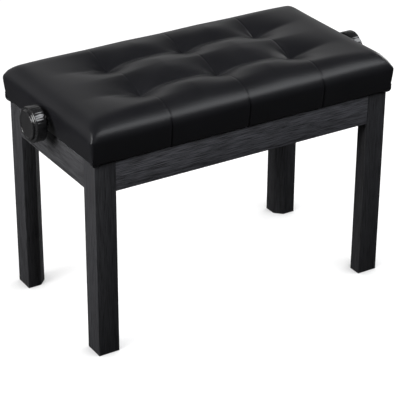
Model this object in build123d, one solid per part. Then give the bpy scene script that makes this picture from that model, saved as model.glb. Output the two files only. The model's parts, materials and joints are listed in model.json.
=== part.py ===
"""Keyboard bench with a tufted seat that a screw spindle raises on a parallel lift linkage.

Frame: millimetres, +X along the bench, -Y is the front, +Z up, origin on the floor under the centre.
The seat is drawn at its lowest position. The lift linkage is a pair of straight-line linkages, one at
each end: a long arm turns on a fixed shaft in the base and a short arm of half its length joins the
long arm's middle to the seat, so the seat pivot stays above the fixed shaft and the seat rises level.
"""

import os
from math import cos, pi, radians, sin, sqrt, tan

from build123d import *

# Wooden base
base_length = 540.0
base_depth = 283.0
rail_top = 332.0
leg_width = 36.0
leg_chamfer = 13.0
rail_height = 50.0
rail_thickness = 16.0

# Steel corner braces that bolt the legs to the rails
brace_clear = 2.2
brace_drop = 2.0
brace_gap = 6.0
brace_flange = 22.0
leg_bolt_diameter = 8.0
leg_bolt_depth = 24.0
leg_bolt_end = 2.0
leg_nut_width = 13.0
leg_nut_height = 6.5

# Upholstered seat
seat_gap = 1.0
seat_overhang = 9.0
side_draw_in = 4.0
side_height = 53.0
edge_round = 9.0
corner_radius = 14.0
rim_rise = 0.4
crown_root = 2.0
crown_height = 22.0
tuft_height = 3.0
seam_height = 15.0
tuft_pitch = 140.0
tuft_row_offset = 53.0
cover_thickness = 1.2
wadding_thickness = 2.5
hem_width = 12.0
skirt_height = 33.0
skirt_thickness = 10.0
board_thickness = 9.0
twine_diameter = 2.0
knot_diameter = 6.0
knot_height = 2.0

# Lift linkage
arm_length = 154.0
rest_angle = 22.2
lift_angle = 35.3
pivot_inset = 52.0
pivot_rise = 20.0
arm_width = 17.0
arm_thickness = 4.0
arm_gap = 1.0
shaft_diameter = 10.0
shaft_head_diameter = 14.0
shaft_head = 2.0
traveller_length = 20.0
traveller_width = 33.0
traveller_height = 23.0
journal_diameter = 8.0

# Pressed steel frames that carry the linkage
sheet = 2.5
spine_flange = 15.0
frame_below_pivot = 11.0
frame_above_pivot = 13.0
channel_inset = 13.0
channel_end_gap = 2.0

# Crossed stabiliser bars at each end
stabiliser_pivot = 60.0
stabiliser_width = 12.0
stabiliser_thickness = 2.5
stabiliser_gap = 0.5
rivet_diameter = 6.0
rivet_head_diameter = 10.0
rivet_head = 1.5
rivet_way = 1.0

# Spindle and hand knobs
spindle_diameter = 12.0
spindle_hole = 16.0
bush_diameter = 16.0
bush_flange_diameter = 22.0
bush_flange = 1.5
collar_diameter = 22.0
collar_length = 8.0
knob_diameter = 58.0
knob_length = 27.0
knob_gap = 5.0
knob_hub_diameter = 40.0
knob_neck = 4.0
knob_bevel = 2.0
knob_boss_diameter = 47.0
knob_boss_height = 4.0
knob_boss_bevel = 1.0
knob_dish_diameter = 38.0
knob_dish_depth = 0.8
knob_dome = 0.4
knob_flutes = 36
knob_flute_radius = 3.0
knob_flute_depth = 0.5
knob_grip_depth = 18.0

# Screws and fits
screw_diameter = 4.0
screw_head_diameter = 8.0
screw_head = 2.2
screw_length = 12.0
board_screw_bite = 6.5
spine_screw_x = 182.0
fixed_fit = 0.05
running_fit = 0.08
slot_fit = 0.2
soft_fit = 0.3

# Worked out from the driving dimensions
half_length = base_length / 2
half_depth = base_depth / 2
end_rail_face = half_length - rail_thickness
side_rail_face = half_depth - rail_thickness
seat_bottom = rail_top + seat_gap
seat_half_length = half_length + seat_overhang
seat_half_depth = half_depth + seat_overhang
skirt_bottom = seat_bottom + cover_thickness + soft_fit
skirt_outset = side_draw_in + cover_thickness + soft_fit + wadding_thickness
skirt_half_length = seat_half_length - skirt_outset
skirt_half_depth = seat_half_depth - skirt_outset
skirt_corner = corner_radius - (skirt_outset - side_draw_in)
board_bottom = skirt_bottom + skirt_height
board_top = board_bottom + board_thickness

pivot_x = half_length - pivot_inset
upper_pivot_z = seat_bottom + pivot_rise
lower_pivot_z = upper_pivot_z - arm_length * sin(radians(rest_angle))
elbow_z = (upper_pivot_z + lower_pivot_z) / 2
rest_reach = arm_length * cos(radians(rest_angle))
top_reach = arm_length * cos(radians(rest_angle + lift_angle))
traveller_x = pivot_x - rest_reach
traveller_top_x = pivot_x - top_reach
elbow_x = pivot_x - rest_reach / 2

# The linkage is stacked outwards from the spindle: traveller, long arm, short arm, spine
long_arm_y = traveller_width / 2 + arm_gap
short_arm_y = long_arm_y + arm_thickness + arm_gap
spine_y = short_arm_y + arm_thickness + arm_gap
spine_back = spine_y + sheet

lower_frame_bottom = lower_pivot_z - frame_below_pivot
lower_frame_top = lower_pivot_z + frame_above_pivot
upper_frame_bottom = upper_pivot_z - frame_above_pivot
channel_x = pivot_x + channel_inset - sheet / 2
channel_back = channel_x + sheet
channel_half_width = half_depth - leg_width - channel_end_gap
upper_channel_end = skirt_half_length - skirt_thickness - stabiliser_gap
inner_bar_x = channel_back + stabiliser_gap
outer_bar_x = inner_bar_x + stabiliser_thickness + stabiliser_gap

spindle_z = upper_pivot_z
knob_start = seat_half_length + knob_gap
spindle_end = knob_start + knob_grip_depth


def block(low, high):
    """Box between two corners."""
    size = [high[i] - low[i] for i in range(3)]
    middle = [(high[i] + low[i]) / 2 for i in range(3)]
    return Pos(*middle) * Box(*size)


def rod(start, end, diameter):
    """Round bar from one point to another."""
    axis = Vector(*end) - Vector(*start)
    plane = Plane(origin=start, z_dir=axis)
    return plane * Cylinder(diameter / 2, axis.length, align=(Align.CENTER, Align.CENTER, Align.MIN))


def headed_rod(start, end, diameter, head_diameter, head_height):
    """Round bar with a flat head beyond each end."""
    axis = (Vector(*end) - Vector(*start)).normalized()
    first = Vector(*start) - axis * head_height
    last = Vector(*end) + axis * head_height
    shaft = rod(first, last, diameter)
    return shaft + rod(first, start, head_diameter) + rod(end, last, head_diameter)


def screw(head_seat, direction, length=screw_length):
    """Wood screw: a low round head on its seat and a plain shank in the given direction."""
    axis = Vector(*direction).normalized()
    seat = Vector(*head_seat)
    shank = rod(seat - axis * screw_head, seat + axis * length, screw_diameter)
    return shank + rod(seat - axis * screw_head, seat, screw_head_diameter)


def screw_holes(seats, direction, length=screw_length):
    """Holes that take the shanks of screws."""
    axis = Vector(*direction).normalized()
    diameter = screw_diameter + 2 * fixed_fit
    holes = []
    for head_seat in seats:
        seat = Vector(*head_seat)
        holes.append(rod(seat - axis * sheet, seat + axis * (length + fixed_fit), diameter))
    return holes


def flat_bar(plane, length, width, thickness, holes):
    """Round-ended bar along a plane's X from its first end's centre, with (distance, diameter) holes."""
    outline = Pos(length / 2, 0) * SlotCenterToCenter(length, width)
    for distance, diameter in holes:
        outline -= Pos(distance, 0) * Circle(diameter / 2)
    return plane * extrude(outline, thickness)


def slot(start, end, width, direction, depth):
    """Cutter for a round-ended slot between two points, through the given depth along a direction."""
    run = Vector(*end) - Vector(*start)
    plane = Plane(origin=start, x_dir=run, z_dir=direction)
    outline = Pos(run.length / 2, 0) * SlotCenterToCenter(run.length, width)
    return plane * extrude(outline, depth)


def group(pieces):
    """Like pieces in one node, as separate solids."""
    return Compound(children=list(pieces))


def turned(piece):
    """The same piece at the other end, turned half a turn about the vertical."""
    return Rot(0, 0, 180) * piece


parts = {}

# Legs: square posts whose inner corner is cut off at 45 degrees for the corner brace
leg_outline = Polyline(
    (-half_length, -half_depth),
    (-half_length + leg_width, -half_depth),
    (-half_length + leg_width, -half_depth + leg_width - leg_chamfer),
    (-half_length + leg_width - leg_chamfer, -half_depth + leg_width),
    (-half_length, -half_depth + leg_width),
    close=True,
)
leg = extrude(make_face(leg_outline), rail_top)

# Corner brace: bent strip across the corner, with a flange on each rail
leg_reach = 2 * (leg_width - rail_thickness) - leg_chamfer
plate_reach = leg_reach + brace_gap * sqrt(2)
bend_reach = plate_reach + sheet * tan(pi / 8)
flange_reach = plate_reach + brace_flange
brace_bottom = lower_frame_top + brace_clear
brace_height = rail_top - brace_drop - brace_bottom
brace_middle = brace_bottom + brace_height / 2
rail_corner = Vector(-end_rail_face, -side_rail_face, 0)
brace_outline = Polyline(
    (flange_reach, 0),
    (plate_reach, 0),
    (0, plate_reach),
    (0, flange_reach),
    (sheet, flange_reach),
    (sheet, bend_reach),
    (bend_reach, sheet),
    (flange_reach, sheet),
    close=True,
)
brace = Pos(*rail_corner) * Pos(0, 0, brace_bottom) * extrude(make_face(brace_outline), brace_height)

# Leg bolt: one end in the leg, the other through the brace into a hexagon nut
bolt_axis = Vector(1, 1, 0).normalized()
leg_face = rail_corner + Vector(leg_reach / 2, leg_reach / 2, brace_middle)
nut_seat = rail_corner + Vector(plate_reach / 2, plate_reach / 2, brace_middle) + bolt_axis * sheet
bolt_start = leg_face - bolt_axis * leg_bolt_depth
bolt_end = nut_seat + bolt_axis * (leg_nut_height + leg_bolt_end)
bolt = rod(bolt_start, bolt_end, leg_bolt_diameter)
bolt_hole = rod(bolt_start - bolt_axis * fixed_fit, bolt_end, leg_bolt_diameter + 2 * fixed_fit)
nut_outline = RegularPolygon(leg_nut_width / sqrt(3), 6) - Circle(leg_bolt_diameter / 2 + fixed_fit)
nut = Plane(origin=nut_seat, z_dir=bolt_axis) * extrude(nut_outline, leg_nut_height)
leg -= bolt_hole
brace -= bolt_hole

screw_along = plate_reach + brace_flange / 2
front_seat = rail_corner + Vector(screw_along, sheet, brace_middle)
end_seat = rail_corner + Vector(sheet, screw_along, brace_middle)
brace_screws = [screw(front_seat, (0, -1, 0)), screw(end_seat, (-1, 0, 0))]
front_holes = screw_holes([front_seat], (0, -1, 0))
end_holes = screw_holes([end_seat], (-1, 0, 0))
brace -= front_holes + end_holes


def at_corners(piece):
    """Copies of a corner piece, in the order front left, front right, rear left, rear right."""
    right = mirror(piece, about=Plane.YZ)
    rear_left = mirror(piece, about=Plane.XZ)
    return [piece, right, rear_left, mirror(right, about=Plane.XZ)]


for name, copy in zip(("front_left", "front_right", "rear_left", "rear_right"), at_corners(leg)):
    parts["leg_" + name] = copy
parts["corner_braces"] = group(at_corners(brace))
parts["leg_bolts"] = group(at_corners(bolt))
parts["leg_nuts"] = group(at_corners(nut))
parts["brace_screws"] = group(c for s in brace_screws for c in at_corners(s))

# Rails: boards between the legs, flush with their outer faces
rail_bottom = rail_top - rail_height
front_rail = block(
    (-half_length + leg_width, -half_depth, rail_bottom), (half_length - leg_width, -side_rail_face, rail_top)
)
end_rail = block(
    (-half_length, -half_depth + leg_width, rail_bottom), (-end_rail_face, half_depth - leg_width, rail_top)
)
front_rail -= front_holes + [mirror(h, about=Plane.YZ) for h in front_holes]
end_rail -= end_holes + [mirror(h, about=Plane.XZ) for h in end_holes]

# Lower end channel: open upwards, screwed to the end rail, with the stabiliser's pivot and slot in its flange
pivot_hole = rivet_diameter + 2 * running_fit
slot_width = rivet_diameter + 2 * slot_fit
channel_span = (-channel_half_width, channel_half_width)
slide_rest_y = stabiliser_pivot - rest_reach
slide_top_y = stabiliser_pivot - top_reach


def stabiliser_holes(height):
    """Cutters for the fixed stabiliser pivot and the sliding one in the left inner flange."""
    depth = sheet + 2
    start = -channel_back - 1
    fixed = rod((start, stabiliser_pivot, height), (start + depth, stabiliser_pivot, height), pivot_hole)
    sliding = slot((start, slide_rest_y, height), (start, slide_top_y, height), slot_width, (1, 0, 0), depth)
    return [fixed, sliding]


def rivet_notch(height):
    """Cutter for the end of a front spine, which lets the sliding rivet's head pass."""
    half_height = rivet_head_diameter / 2 + rivet_way
    end = -channel_x + soft_fit + rivet_head + rivet_way
    return block(
        (-channel_x - 1, -spine_back - 1, height - half_height), (end, -spine_y + 1, height + half_height)
    )


lower_channel = block(
    (-end_rail_face, channel_span[0], lower_frame_bottom), (-channel_x, channel_span[1], lower_frame_top)
)
lower_channel -= block(
    (-end_rail_face + sheet, channel_span[0] - 1, lower_frame_bottom + sheet),
    (-channel_back, channel_span[1] + 1, lower_frame_top + 1),
)
lower_channel -= stabiliser_holes(lower_pivot_z)
rail_screw_rows = (-stabiliser_pivot, 0, stabiliser_pivot)
rail_screw_seats = [(-end_rail_face + sheet, y, lower_pivot_z) for y in rail_screw_rows]
rail_screw_holes = screw_holes(rail_screw_seats, (-1, 0, 0))
lower_channel -= rail_screw_holes
end_rail -= rail_screw_holes
rail_screws = [screw(s, (-1, 0, 0)) for s in rail_screw_seats]
parts["lower_end_channel_left"] = lower_channel
parts["lower_end_channel_right"] = turned(lower_channel)
parts["channel_screws"] = group(rail_screws + [turned(s) for s in rail_screws])
parts["front_rail"] = front_rail
parts["rear_rail"] = turned(front_rail)
parts["end_rail_left"] = end_rail
parts["end_rail_right"] = turned(end_rail)

# Lower spines: angle bars between the end channels, which carry the fixed shafts
shaft_hole = shaft_diameter + 2 * fixed_fit
lower_spine = block((-channel_x, -spine_back, lower_frame_bottom), (channel_x, -spine_y, lower_frame_top))
lower_spine += block(
    (-channel_x, -spine_back - spine_flange, lower_frame_bottom),
    (channel_x, -spine_back, lower_frame_bottom + sheet),
)
lower_spine -= rivet_notch(lower_pivot_z)
for x in (-pivot_x, pivot_x):
    lower_spine -= rod((x, -spine_back - 1, lower_pivot_z), (x, -spine_y + 1, lower_pivot_z), shaft_hole)
lower_shaft = headed_rod(
    (-pivot_x, -spine_back, lower_pivot_z),
    (-pivot_x, spine_back, lower_pivot_z),
    shaft_diameter,
    shaft_head_diameter,
    shaft_head,
)
parts["lower_spine_front"] = lower_spine
parts["lower_spine_rear"] = turned(lower_spine)
parts["lower_shaft_left"] = lower_shaft
parts["lower_shaft_right"] = turned(lower_shaft)

# Long arms: a pair at each end, on the fixed shaft below and the traveller's journals above
long_arm_run = (rest_reach, 0, arm_length * sin(radians(rest_angle)))
short_arm_run = (-rest_reach / 2, 0, upper_pivot_z - elbow_z)
running_hole = shaft_diameter + 2 * running_fit
journal_hole = journal_diameter + 2 * running_fit
long_arm_holes = [(0, running_hole), (arm_length / 2, shaft_hole), (arm_length, journal_hole)]
long_arm_outer = long_arm_y + arm_thickness
short_arm_outer = short_arm_y + arm_thickness
for name, face in (("front", -long_arm_y), ("rear", long_arm_outer)):
    plane = Plane(origin=(-pivot_x, face, lower_pivot_z), x_dir=long_arm_run, z_dir=(0, -1, 0))
    arm = flat_bar(plane, arm_length, arm_width, arm_thickness, long_arm_holes)
    parts["long_arm_left_" + name] = arm
    parts["long_arm_right_" + name] = mirror(arm, about=Plane.YZ)

# Elbow shafts: fixed in the middle of the long arms, with the short arms turning on their ends
elbow_shaft = headed_rod(
    (-elbow_x, -short_arm_outer - arm_gap, elbow_z),
    (-elbow_x, short_arm_outer + arm_gap, elbow_z),
    shaft_diameter,
    shaft_head_diameter,
    shaft_head,
)
parts["elbow_shaft_left"] = elbow_shaft
parts["elbow_shaft_right"] = turned(elbow_shaft)

# Short arms: half as long, from the elbow shaft out to the seat frame
for side, name_side, top_fit in ((1, "left", running_fit), (-1, "right", slot_fit)):
    holes = [(0, running_hole), (arm_length / 2, shaft_diameter + 2 * top_fit)]
    for name, face in (("front", -short_arm_y), ("rear", short_arm_outer)):
        plane = Plane(origin=(-elbow_x, face, elbow_z), x_dir=short_arm_run, z_dir=(0, -1, 0))
        arm = flat_bar(plane, arm_length / 2, arm_width, arm_thickness, holes)
        parts["short_arm_" + name_side + "_" + name] = arm if side > 0 else mirror(arm, about=Plane.YZ)

# Travellers: nut blocks on the spindle, with a journal at each side for the long arms and the guide slots
journal_end = spine_back + shaft_head
traveller = block(
    (-traveller_x - traveller_length / 2, -traveller_width / 2, upper_pivot_z - traveller_height / 2),
    (-traveller_x + traveller_length / 2, traveller_width / 2, upper_pivot_z + traveller_height / 2),
)
traveller = chamfer(traveller.edges().filter_by(Axis.Y), traveller_height / 6)
traveller += rod(
    (-traveller_x, -journal_end, upper_pivot_z), (-traveller_x, journal_end, upper_pivot_z), journal_diameter
)
traveller -= rod(
    (-traveller_x - traveller_length, 0, spindle_z),
    (-traveller_x + traveller_length, 0, spindle_z),
    spindle_diameter + 2 * running_fit,
)
parts["traveller_left"] = traveller
parts["traveller_right"] = turned(traveller)

# Upper spines: angle bars under the seat board, with the seat pivots and the travellers' guide slots
upper_spine = block((-channel_x, -spine_back, upper_frame_bottom), (channel_x, -spine_y, board_bottom))
upper_spine += block(
    (-channel_x, -spine_back - spine_flange, board_bottom - sheet), (channel_x, -spine_back, board_bottom)
)
upper_spine -= rivet_notch(upper_pivot_z)
guide_width = journal_diameter + 2 * slot_fit
for side in (-1, 1):
    x = side * pivot_x
    upper_spine -= rod((x, -spine_back - 1, upper_pivot_z), (x, -spine_y + 1, upper_pivot_z), shaft_hole)
    upper_spine -= slot(
        (side * traveller_x, -spine_y + 1, upper_pivot_z),
        (side * traveller_top_x, -spine_y + 1, upper_pivot_z),
        guide_width,
        (0, -1, 0),
        sheet + 2,
    )
seat_pin = headed_rod(
    (-pivot_x, -spine_back, upper_pivot_z),
    (-pivot_x, -short_arm_y + arm_gap, upper_pivot_z),
    shaft_diameter,
    shaft_head_diameter,
    shaft_head,
)
parts["seat_pivot_pins"] = group(at_corners(seat_pin))

# Upper end channel: open downwards under the seat board, with the stabiliser pivot, slot and spindle bush
upper_channel = block(
    (-upper_channel_end, channel_span[0], upper_frame_bottom), (-channel_x, channel_span[1], board_bottom)
)
upper_channel -= block(
    (-upper_channel_end + sheet, channel_span[0] - 1, upper_frame_bottom - 1),
    (-channel_back, channel_span[1] + 1, board_bottom - sheet),
)
upper_channel -= stabiliser_holes(upper_pivot_z)
bush_hole = bush_diameter + 2 * fixed_fit
upper_channel -= rod((-upper_channel_end - 1, 0, spindle_z), (-channel_x + 1, 0, spindle_z), bush_hole)

# Board screws: up through the channels' webs and the spines' flanges into the seat board
web_middle = (upper_channel_end + channel_back) / 2
board_screw_length = sheet + board_screw_bite
screw_z = board_bottom - sheet
channel_seats = [(-web_middle, side * stabiliser_pivot, screw_z) for side in (-1, 1)]
spine_seats = [(side * spine_screw_x, -spine_back - spine_flange / 2, screw_z) for side in (-1, 1)]
channel_holes = screw_holes(channel_seats, (0, 0, 1), board_screw_length)
spine_holes = screw_holes(spine_seats, (0, 0, 1), board_screw_length)
board_screws = [screw(s, (0, 0, 1), board_screw_length) for s in channel_seats + spine_seats]
upper_channel -= channel_holes
upper_spine -= spine_holes
parts["upper_end_channel_left"] = upper_channel
parts["upper_end_channel_right"] = turned(upper_channel)
parts["upper_spine_front"] = upper_spine
parts["upper_spine_rear"] = turned(upper_spine)
parts["board_screws"] = group(board_screws + [turned(s) for s in board_screws])

# Seat box: a plywood board on four side boards, with a hole at each end for the spindle
skirt_outline = RectangleRounded(2 * skirt_half_length, 2 * skirt_half_depth, skirt_corner)
seat_board = Pos(0, 0, board_bottom) * extrude(skirt_outline, board_thickness)
seat_board -= channel_holes + spine_holes + [turned(h) for h in channel_holes + spine_holes]
side_board_front = Pos(0, 0, skirt_bottom) * extrude(skirt_outline, skirt_height)
side_board_front -= block(
    (-seat_half_length, -skirt_half_depth + skirt_thickness, seat_bottom),
    (seat_half_length, seat_half_depth, board_top),
)
side_board_left = block(
    (-skirt_half_length, -skirt_half_depth + skirt_thickness, skirt_bottom),
    (-skirt_half_length + skirt_thickness, skirt_half_depth - skirt_thickness, board_bottom),
)
spindle_way = rod((-knob_start, 0, spindle_z), (knob_start, 0, spindle_z), spindle_hole)
side_board_left -= spindle_way
parts["side_board_front"] = side_board_front
parts["side_board_rear"] = turned(side_board_front)
parts["side_board_left"] = side_board_left
parts["side_board_right"] = turned(side_board_left)

# Cushion form: drawn-in sides with a full upper edge, and a crown of panels pulled down at the sewn tufts.
# Each pair of the side shape is a share of the side's height and how much of the draw-in is left there.
edge_z = seat_bottom + side_height
crown_margin = corner_radius * (1 - 1 / sqrt(2)) + soft_fit
side_shape = ((0.0, 1.0), (0.3, 0.45), (0.65, 0.05), (0.85, 0.1))


def cushion_sides(inset):
    """Sides of the cushion up to its top edge, from round-cornered outlines at rising heights."""
    low = seat_bottom + inset
    top = edge_z - inset
    outlines = []
    for share, drawn in side_shape:
        outlines.append((low + share * (top - low), drawn * side_draw_in))
    outlines.append((top, edge_round))
    faces = []
    for height, draw in outlines:
        length = 2 * (seat_half_length - draw - inset)
        depth = 2 * (seat_half_depth - draw - inset)
        faces.append(Pos(0, 0, height) * RectangleRounded(length, depth, corner_radius))
    return loft(faces)


def crown_section(y, half_span, base_z, seam_z, panel_z, rim_z):
    """Cross section of the crown: four arched panels between the seams and the two rims."""
    seams = (-half_span, -tuft_pitch, 0, tuft_pitch, half_span)
    heights = (rim_z, seam_z, seam_z, seam_z, rim_z)
    lines = [
        Line((half_span, y, base_z), (-half_span, y, base_z)),
        Line((-half_span, y, base_z), (-half_span, y, rim_z)),
        Line((half_span, y, rim_z), (half_span, y, base_z)),
    ]
    for i in range(4):
        middle = ((seams[i] + seams[i + 1]) / 2, y, panel_z)
        lines.append(ThreePointArc((seams[i], y, heights[i]), middle, (seams[i + 1], y, heights[i + 1])))
    return make_face(Wire.combine(lines)[0])


def cushion_crown(inset):
    """Crown in three rows of panels, each row lofted from seam to seam."""
    half_span = seat_half_length - edge_round - crown_margin - inset
    rim_y = seat_half_depth - edge_round - crown_margin - inset
    base_z = edge_z - crown_root - inset
    rim = edge_z + rim_rise - inset
    rows = ((-rim_y, -tuft_row_offset), (-tuft_row_offset, tuft_row_offset), (tuft_row_offset, rim_y))
    crown = []
    for start, end in rows:
        ends = []
        for y in (start, end):
            at_rim = abs(y) == rim_y
            ends.append((rim_rise, 2 * rim_rise) if at_rim else (tuft_height, seam_height))
        sections = []
        for step in range(5):
            share = step / 4
            swell = sin(pi * share)
            seam = ends[0][0] * (1 - share) + ends[1][0] * share
            panel = ends[0][1] * (1 - share) + ends[1][1] * share
            seam += swell * (crown_height - seam_height)
            panel += swell * (crown_height - seam_height)
            y = start * (1 - share) + end * share
            sections.append(crown_section(y, half_span, base_z, rim + seam, rim + panel, rim))
        crown.append(loft(sections))
    return crown


def cushion_form(inset):
    """Whole cushion, with every surface drawn in by the inset."""
    return cushion_sides(inset) + cushion_crown(inset)


cover = cushion_form(0) - cushion_form(cover_thickness)
hem_half_length = skirt_half_length - hem_width
hem_half_depth = skirt_half_depth - hem_width
hem_top = seat_bottom + 2 * cover_thickness
cover -= block(
    (-hem_half_length, -hem_half_depth, seat_bottom - 1), (hem_half_length, hem_half_depth, hem_top)
)
cover -= spindle_way
filling = cushion_form(cover_thickness + soft_fit)
board_cover = block(
    (-seat_half_length, -seat_half_depth, seat_bottom), (seat_half_length, seat_half_depth, board_top)
)
foam = filling - board_cover
seat_box = Pos(0, 0, seat_bottom) * extrude(skirt_outline, board_top - seat_bottom)
wadding = (filling & board_cover) - seat_box - spindle_way
strip_fronts = block(
    (-skirt_half_length, -seat_half_depth, seat_bottom), (skirt_half_length, seat_half_depth, board_top)
)
parts["seat_cover"] = cover

# Tuft twines: pull each tuft down through the foam and are knotted under the board
tuft_z = edge_z + rim_rise + tuft_height - cover_thickness - 2 * soft_fit
twines = []
for x in (-tuft_pitch, 0, tuft_pitch):
    for y in (-tuft_row_offset, tuft_row_offset):
        way = rod((x, y, board_bottom - 1), (x, y, tuft_z + crown_height), twine_diameter + 2 * fixed_fit)
        foam -= way
        seat_board -= way
        twine = rod((x, y, board_bottom - knot_height), (x, y, tuft_z), twine_diameter)
        twines.append(twine + rod((x, y, board_bottom - knot_height), (x, y, board_bottom), knot_diameter))
parts["seat_foam"] = foam
parts["side_wadding"] = group((wadding & strip_fronts).solids() + (wadding - strip_fronts).solids())
parts["seat_board"] = seat_board
parts["tuft_twines"] = group(twines)

# Spindle bushes and collars: carry the spindle in the outer flanges of the upper channels
bush = rod((-upper_channel_end, 0, spindle_z), (-upper_channel_end + sheet, 0, spindle_z), bush_diameter)
bush += rod(
    (-upper_channel_end + sheet, 0, spindle_z),
    (-upper_channel_end + sheet + bush_flange, 0, spindle_z),
    bush_flange_diameter,
)
bush -= rod((-knob_start, 0, spindle_z), (0, 0, spindle_z), spindle_diameter + 2 * running_fit)
collar_start = -upper_channel_end + sheet + bush_flange + soft_fit
collar = rod((collar_start, 0, spindle_z), (collar_start + collar_length, 0, spindle_z), collar_diameter)
collar -= rod((-knob_start, 0, spindle_z), (0, 0, spindle_z), spindle_diameter + 2 * fixed_fit)
parts["spindle_bushes"] = group([bush, turned(bush)])
parts["spindle_collars"] = group([collar, turned(collar)])

# Spindle: one rod from knob to knob, with opposite threads on its two halves
parts["spindle"] = rod((-spindle_end, 0, spindle_z), (spindle_end, 0, spindle_z), spindle_diameter)

# Hand knob: turned body with a hub, a fluted grip and a raised boss that has a shallow dish in its face
knob_radius = knob_diameter / 2
hub_radius = knob_hub_diameter / 2
boss_radius = knob_boss_diameter / 2
body_end = knob_length - knob_boss_height
dish_radius = knob_dish_diameter / 2
dish_floor = knob_length - knob_dish_depth
dome_radius = (dish_radius**2 + knob_dome**2) / (2 * knob_dome)
dome_centre = dish_floor + knob_dome - dome_radius
dome_middle = (dish_radius / 2, dome_centre + sqrt(dome_radius**2 - dish_radius**2 / 4))
knob_profile = Polyline(
    (0, 0),
    (hub_radius, 0),
    (hub_radius, knob_neck),
    (knob_radius - knob_bevel, knob_neck),
    (knob_radius, knob_neck + knob_bevel),
    (knob_radius, body_end - knob_bevel),
    (knob_radius - knob_bevel, body_end),
    (boss_radius, body_end),
    (boss_radius, knob_length - knob_boss_bevel),
    (boss_radius - knob_boss_bevel, knob_length),
    (dish_radius + knob_dish_depth, knob_length),
    (dish_radius, dish_floor),
)
knob_face = ThreePointArc((dish_radius, dish_floor), dome_middle, (0, dish_floor + knob_dome))
knob_axis = Line((0, dish_floor + knob_dome), (0, 0))
knob = revolve(make_face(Wire.combine([knob_profile, knob_face, knob_axis])[0]), Axis.Y)
flute_centre = knob_radius + knob_flute_radius - knob_flute_depth
for i in range(knob_flutes):
    turn = 2 * pi * i / knob_flutes
    x, z = flute_centre * cos(turn), flute_centre * sin(turn)
    knob -= rod((x, -1, z), (x, body_end - 2 * knob_bevel, z), 2 * knob_flute_radius)
knob -= rod((0, -1, 0), (0, knob_grip_depth + fixed_fit, 0), spindle_diameter + 2 * fixed_fit)
knob = Plane(origin=(-knob_start, 0, spindle_z), x_dir=(0, 1, 0), z_dir=(0, 0, 1)) * knob
parts["knob_left"] = knob
parts["knob_right"] = turned(knob)

# Stabilisers: two crossed bars at each end, riveted at the middle, one end of each sliding in a slot
bar_run = (0, -rest_reach, arm_length * sin(radians(rest_angle)))
middle_y = stabiliser_pivot - rest_reach / 2
outer_plane = Plane(
    origin=(-outer_bar_x - stabiliser_thickness, stabiliser_pivot, lower_pivot_z),
    x_dir=bar_run,
    z_dir=(1, 0, 0),
)
inner_plane = Plane(
    origin=(-inner_bar_x - stabiliser_thickness, slide_rest_y, lower_pivot_z),
    x_dir=(0, rest_reach, arm_length * sin(radians(rest_angle))),
    z_dir=(1, 0, 0),
)
rivet_hole = rivet_diameter + 2 * fixed_fit
middle_hole = (arm_length / 2, rivet_hole)
outer_bar = flat_bar(
    outer_plane,
    arm_length,
    stabiliser_width,
    stabiliser_thickness,
    [(0, rivet_hole), middle_hole, (arm_length, rivet_hole)],
)
inner_bar = flat_bar(
    inner_plane,
    arm_length,
    stabiliser_width,
    stabiliser_thickness,
    [(0, rivet_hole), (arm_length / 2, pivot_hole), (arm_length, rivet_hole)],
)


def stabiliser_rivet(y, z, outer_x, inner_x):
    """Rivet along the bench at one stabiliser pivot, with a head at each end."""
    return headed_rod((-outer_x, y, z), (-inner_x, y, z), rivet_diameter, rivet_head_diameter, rivet_head)


outer_face = outer_bar_x + stabiliser_thickness
inner_face = inner_bar_x + stabiliser_thickness
flange_face = channel_x - soft_fit
outer_rivets = [
    stabiliser_rivet(stabiliser_pivot, lower_pivot_z, outer_face, flange_face),
    stabiliser_rivet(middle_y, elbow_z, outer_face, inner_bar_x - soft_fit),
    stabiliser_rivet(slide_rest_y, upper_pivot_z, outer_face, flange_face),
]
inner_rivets = [
    stabiliser_rivet(slide_rest_y, lower_pivot_z, inner_face, flange_face),
    stabiliser_rivet(stabiliser_pivot, upper_pivot_z, inner_face, flange_face),
]
for side, place in (("left", lambda piece: piece), ("right", turned)):
    parts["stabiliser_" + side + "_outer"] = place(outer_bar)
    parts["stabiliser_" + side + "_inner"] = place(inner_bar)
    parts["stabiliser_" + side + "_outer_rivets"] = group(place(r) for r in outer_rivets)
    parts["stabiliser_" + side + "_inner_rivets"] = group(place(r) for r in inner_rivets)

os.makedirs("parts", exist_ok=True)
for node, shape in parts.items():
    export_step(shape, f"parts/{node}.step")
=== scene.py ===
"""Keyboard bench with a tufted seat on a screw-driven lift linkage: the finish of every piece.

Metres, +X along the bench, -Y is the front, +Z up. The sections follow the bench as it is put together.
"""

import json
import math

import bmesh
import bpy
import numpy as np
from mathutils import Matrix, Vector

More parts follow.
